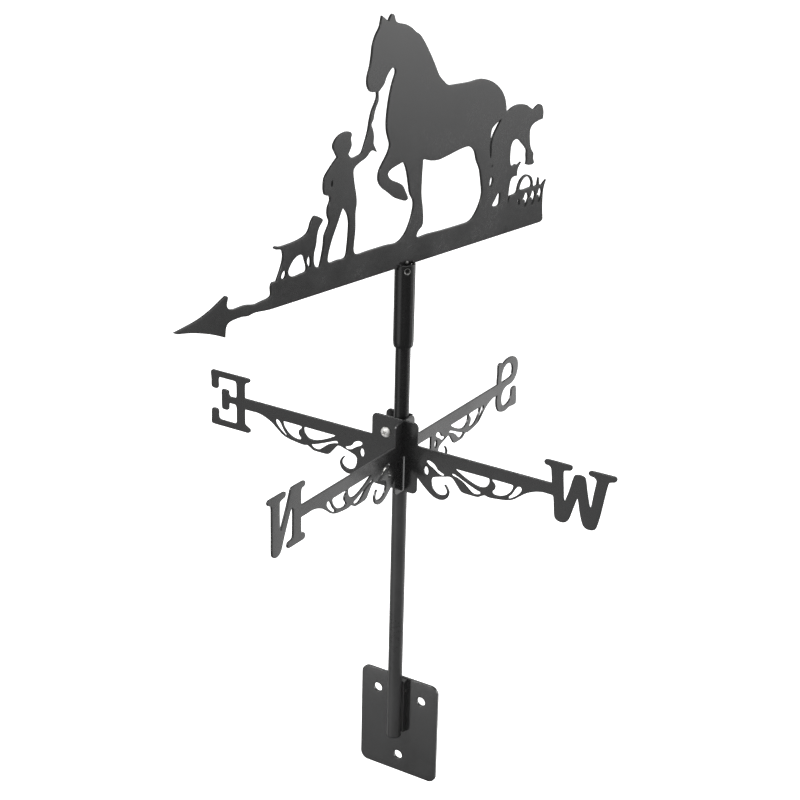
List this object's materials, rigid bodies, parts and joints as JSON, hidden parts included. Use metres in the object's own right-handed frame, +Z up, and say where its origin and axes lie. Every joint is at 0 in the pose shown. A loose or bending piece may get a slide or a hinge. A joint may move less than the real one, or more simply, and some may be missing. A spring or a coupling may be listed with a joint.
{
  "type": "weather vane",
  "caption": "Wall-mounted weather vane: a cut-steel scene of a horse, dog and farm hands turns on a mast above crossed compass arms.",
  "frame": {"origin": "back face of the wall plate, on the mast's centre line, level with the two upper wall holes", "axes": "+Z up the mast, +Y into the wall, +X along the west arm"},
  "size_m": [0.4223, 0.4568, 0.7315],
  "materials": {
    "vane_coat": "satin black powder coat",
    "sleeve_coat": "satin black powder coat",
    "mast_coat": "satin black powder coat",
    "compass_coat": "satin black powder coat",
    "base_coat": "satin black powder coat",
    "saddle_coat": "satin black powder coat",
    "weld_coat": "powder coat over weld beads",
    "bearing_plastic": "machined black bearing plastic",
    "plug_plastic": "moulded plug",
    "plain_steel": "turned steel",
    "blackened_steel": "black oxide finish",
    "zinc": "bright zinc plate"
  },
  "bodies": {
    "mast": {"mast_upper": "mast_coat", "mast_lower": "mast_coat", "mast_coupler": "plain_steel", "pivot_pin": "plain_steel", "mast_foot_plug": "plug_plastic", "east_west_plate": "compass_coat", "north_south_plate": "compass_coat", "rear_clamp_plate": "compass_coat", "clamp_screws": "zinc", "clamp_washers": "zinc", "clamp_nuts": "zinc", "base_plate": "base_coat", "mast_saddle": "saddle_coat", "saddle_screws": "blackened_steel", "saddle_set_screw": "blackened_steel", "mast_welds": "weld_coat"},
    "vane": {"vane_plate": "vane_coat", "rotor_sleeve": "sleeve_coat", "pivot_cup": "bearing_plastic", "cup_set_screw": "blackened_steel", "upper_bush": "bearing_plastic", "lower_bush": "bearing_plastic", "vane_welds": "weld_coat"}
  },
  "joints": [
    {"name": "vane_spin", "type": "hinge", "parent": "mast", "child": "vane", "pos_m": [0, -0.011, 0.4], "axis": [0, 0, 1], "continuous": true}
  ]
}
